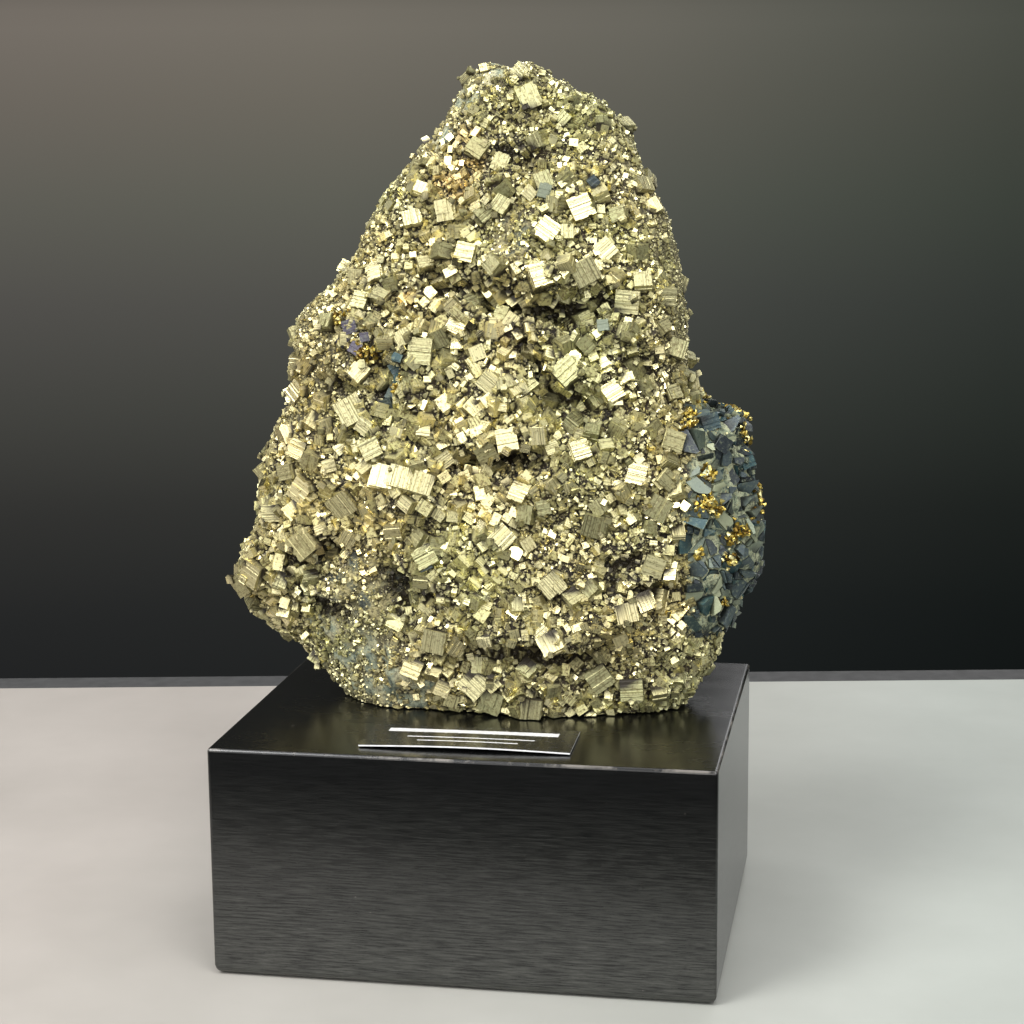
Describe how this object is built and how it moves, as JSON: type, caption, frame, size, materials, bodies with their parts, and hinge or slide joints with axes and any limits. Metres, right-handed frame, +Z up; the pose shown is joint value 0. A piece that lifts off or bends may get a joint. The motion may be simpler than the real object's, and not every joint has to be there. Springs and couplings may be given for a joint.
{
  "type": "pyrite specimen",
  "caption": "Cluster of grown-together pyrite cubes standing on a black lacquered wooden block, with a small blank card in front.",
  "frame": {"origin": "centre of the block's flat underside", "axes": "+Z up, +X to the right of someone facing the crystal face, +Y from the crystal face to the broken back"},
  "size_m": [0.1348, 0.098, 0.2147],
  "materials": {
    "pyrite": "bright metallic cube faces on grey-green matrix",
    "black_lacquer": "satin black lacquer over fine grain",
    "card_ink": "glossy black face with a white cut edge"
  },
  "bodies": {
    "root": {"pyrite_cluster": "pyrite", "stand_block": "black_lacquer", "label_card": "card_ink"}
  },
  "joints": []
}
